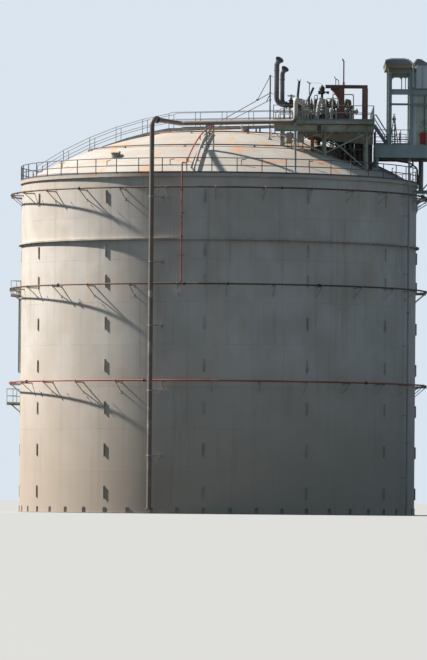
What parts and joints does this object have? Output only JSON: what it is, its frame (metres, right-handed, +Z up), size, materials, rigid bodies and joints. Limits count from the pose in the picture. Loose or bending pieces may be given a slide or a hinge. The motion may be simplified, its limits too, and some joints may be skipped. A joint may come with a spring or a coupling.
{
  "type": "domed-roof cylindrical gas storage tank",
  "caption": "Flat-bottomed cylindrical gas storage tank with a domed roof, ring spray pipes, rim handrail, caged ladders, roof walkway, valve platform and an outboard shelter.",
  "frame": {"origin": "centre of the tank's flat bottom, at ground level", "axes": "+Z up along the tank's axis, -Y towards the side seen in the picture, +X towards the roof shelter on its right"},
  "size_m": [32.5226, 30.4642, 33],
  "materials": {
    "shell_paint": "weathered cream paint with rust streaks",
    "roof_paint": "weathered cream paint with orange rust patches",
    "ring_paint": "rusty dark red-brown paint",
    "red_paint": "faded red paint",
    "galvanised": "dull galvanised steel",
    "pipe_grey": "weathered grey paint",
    "platform_paint": "grey-green paint with moss and rust",
    "crane_brown": "red-brown paint",
    "deck_blue": "blue-grey paint",
    "cladding": "ribbed blue-grey sheet",
    "box_red": "red paint",
    "bottom_grey": "primed steel"
  },
  "bodies": {
    "root": {"tank_bottom": "bottom_grey", "shell_segment_1": "shell_paint", "shell_segment_2": "shell_paint", "shell_segment_3": "shell_paint", "shell_segment_4": "shell_paint", "roof_sector_1": "roof_paint", "roof_sector_2": "roof_paint", "roof_sector_3": "roof_paint", "roof_sector_4": "roof_paint", "roof_crown": "roof_paint", "spray_ring_upper_1": "ring_paint", "spray_ring_upper_2": "ring_paint", "spray_ring_middle_1": "ring_paint", "spray_ring_middle_2": "ring_paint", "roof_spray_rings": "ring_paint", "spray_ring_lower_1": "red_paint", "spray_ring_lower_2": "red_paint", "drench_riser": "red_paint", "rim_rail_1": "galvanised", "rim_rail_2": "galvanised", "walkway_rail_front": "galvanised", "walkway_rail_back": "galvanised", "ladder_lower": "galvanised", "ladder_middle": "galvanised", "ladder_upper": "galvanised", "platform_rail_front": "galvanised", "platform_rail_back": "galvanised", "platform_stair": "galvanised", "guyed_mast": "galvanised", "roof_walkway": "platform_paint", "landing_lower": "platform_paint", "landing_upper": "platform_paint", "platform_deck": "platform_paint", "platform_frame_front": "platform_paint", "platform_frame_middle": "platform_paint", "platform_frame_back": "platform_paint", "canopy_roof": "platform_paint", "vapour_downcomer": "pipe_grey", "vapour_header": "pipe_grey", "roof_feed_pipe": "pipe_grey", "vent_stack_tall": "pipe_grey", "vent_stack_short": "pipe_grey", "valve_manifold": "pipe_grey", "side_downpipe": "pipe_grey", "feed_arch": "pipe_grey", "shelter_deck": "deck_blue", "shelter_bracket_front": "deck_blue", "shelter_bracket_back": "deck_blue", "shelter_frame_front": "deck_blue", "shelter_frame_back": "deck_blue", "cabin_walls": "cladding", "cabin_roof": "cladding", "hose_cabinet": "box_red", "crane_gantry": "crane_brown"}
  },
  "joints": []
}
